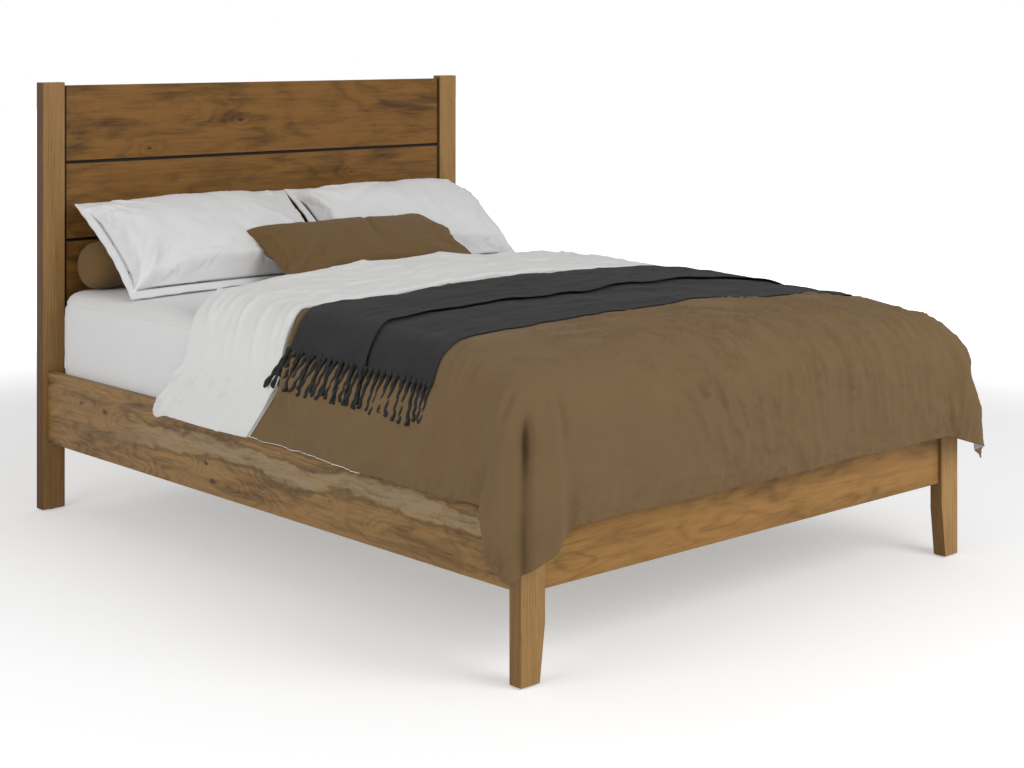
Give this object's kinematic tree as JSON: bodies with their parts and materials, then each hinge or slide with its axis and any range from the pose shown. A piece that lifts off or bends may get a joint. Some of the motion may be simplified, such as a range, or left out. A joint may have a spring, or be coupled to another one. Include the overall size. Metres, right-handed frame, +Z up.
{
  "type": "panel bed",
  "caption": "Wooden panel bed with a plank headboard, slats on a centre beam, and its mattress, duvet, throw, pillows and cushions.",
  "frame": {"origin": "on the floor under the pad of the middle support leg, at the middle of the bed frame", "axes": "+X across the bed to its right side seen from the foot, +Y along the bed to the headboard, +Z up"},
  "size_m": [1.7016, 2.2068, 1.281],
  "materials": {
    "post_wood": "stained straight-grained wood, satin",
    "plank_wood": "stained knotty wood, satin",
    "side_rail_wood": "stained figured wood, satin",
    "foot_rail_wood": "stained wood, satin",
    "inner_wood": "planed, unstained",
    "fitting_steel": "zinc-plated",
    "screw_steel": "zinc-plated",
    "insert_brass": "plain",
    "pad_plastic": "moulded, matte",
    "mattress_ticking": "knitted ticking",
    "sheet_cotton": "smooth cotton",
    "duvet_cotton": "washed cotton, white lining",
    "throw_wool": "woven wool with a twisted fringe",
    "pillow_linen": "washed linen",
    "cushion_cotton": "heavy cotton"
  },
  "bodies": {
    "frame": {"headboard_post_left": "post_wood", "headboard_post_right": "post_wood", "foot_leg_left": "post_wood", "foot_leg_right": "post_wood", "plank_top": "plank_wood", "plank_middle": "plank_wood", "plank_bottom": "plank_wood", "side_rail_left": "side_rail_wood", "side_rail_right": "side_rail_wood", "foot_rail": "foot_rail_wood", "batten_left": "inner_wood", "batten_right": "inner_wood", "head_cross_rail": "inner_wood", "slat_cleat_left": "inner_wood", "slat_cleat_right": "inner_wood", "center_beam": "inner_wood", "support_leg_head": "inner_wood", "support_leg_middle": "inner_wood", "support_leg_foot": "inner_wood", "slat_01": "inner_wood", "slat_02": "inner_wood", "slat_03": "inner_wood", "slat_04": "inner_wood", "slat_05": "inner_wood", "slat_06": "inner_wood", "slat_07": "inner_wood", "slat_08": "inner_wood", "slat_09": "inner_wood", "slat_10": "inner_wood", "slat_11": "inner_wood", "slat_12": "inner_wood", "slat_13": "inner_wood", "slat_14": "inner_wood", "hook_plates": "fitting_steel", "receiver_plates": "fitting_steel", "beam_hanger_head": "fitting_steel", "beam_hanger_foot": "fitting_steel", "batten_screws": "screw_steel", "rail_plate_screws": "screw_steel", "cleat_screws": "screw_steel", "slat_screws": "screw_steel", "beam_hanger_screws": "screw_steel", "support_leg_bolts": "screw_steel", "threaded_inserts": "insert_brass", "frame_glides": "pad_plastic"},
    "pad_head": {"leveller_pad_head": "pad_plastic"},
    "stem_head": {"leveller_stem_head": "screw_steel"},
    "pad_middle": {"leveller_pad_middle": "pad_plastic"},
    "stem_middle": {"leveller_stem_middle": "screw_steel"},
    "pad_foot": {"leveller_pad_foot": "pad_plastic"},
    "stem_foot": {"leveller_stem_foot": "screw_steel"},
    "mattress_body": {"mattress": "mattress_ticking", "fitted_sheet": "sheet_cotton"},
    "duvet_body": {"duvet": "duvet_cotton"},
    "throw_body": {"throw": "throw_wool", "throw_fringe": "throw_wool"},
    "pillow_left_body": {"pillow_left": "pillow_linen"},
    "pillow_right_body": {"pillow_right": "pillow_linen"},
    "lumbar_body": {"lumbar_cushion": "cushion_cotton"},
    "bolster_body": {"bolster": "cushion_cotton"}
  },
  "joints": [
    {"name": "pad_head_height", "type": "slide", "parent": "frame", "child": "pad_head", "axis": [0, 0, 1], "range_m": [-0.01001, 0.00901]},
    {"name": "stem_head_turn", "type": "hinge", "parent": "pad_head", "child": "stem_head", "pos_m": [0, 0.42, 0], "axis": [0, 0, 1], "range_deg": [-2880, 2592]},
    {"name": "pad_middle_height", "type": "slide", "parent": "frame", "child": "pad_middle", "axis": [0, 0, 1], "range_m": [-0.01001, 0.00901]},
    {"name": "stem_middle_turn", "type": "hinge", "parent": "pad_middle", "child": "stem_middle", "pos_m": [0, 0, 0], "axis": [0, 0, 1], "range_deg": [-2880, 2592]},
    {"name": "pad_foot_height", "type": "slide", "parent": "frame", "child": "pad_foot", "axis": [0, 0, 1], "range_m": [-0.01001, 0.00901]},
    {"name": "stem_foot_turn", "type": "hinge", "parent": "pad_foot", "child": "stem_foot", "pos_m": [0, -0.42, 0], "axis": [0, 0, 1], "range_deg": [-2880, 2592]},
    {"name": "mattress_lift", "type": "slide", "parent": "frame", "child": "mattress_body", "axis": [0, 0, 1], "range_m": [0, 0.25]},
    {"name": "duvet_lift", "type": "slide", "parent": "mattress_body", "child": "duvet_body", "axis": [0, 0, 1], "range_m": [0, 0.3]},
    {"name": "throw_lift", "type": "slide", "parent": "duvet_body", "child": "throw_body", "axis": [0, 0, 1], "range_m": [0, 0.2]},
    {"name": "lumbar_lift", "type": "slide", "parent": "mattress_body", "child": "lumbar_body", "axis": [0, 0, 1], "range_m": [0, 0.2]},
    {"name": "pillow_left_slide", "type": "slide", "parent": "mattress_body", "child": "pillow_left_body", "axis": [-1, 0, 0], "range_m": [0, 0.25]},
    {"name": "pillow_right_slide", "type": "slide", "parent": "mattress_body", "child": "pillow_right_body", "axis": [1, 0, 0], "range_m": [0, 0.25]},
    {"name": "bolster_slide", "type": "slide", "parent": "mattress_body", "child": "bolster_body", "axis": [-1, 0, 0], "range_m": [0, 0.25]}
  ],
  "couplings": [
    {"joint": "pad_head_height", "follows": "stem_head_turn", "m_per_rad": 0.00019894},
    {"joint": "pad_middle_height", "follows": "stem_middle_turn", "m_per_rad": 0.00019894},
    {"joint": "pad_foot_height", "follows": "stem_foot_turn", "m_per_rad": 0.00019894}
  ]
}
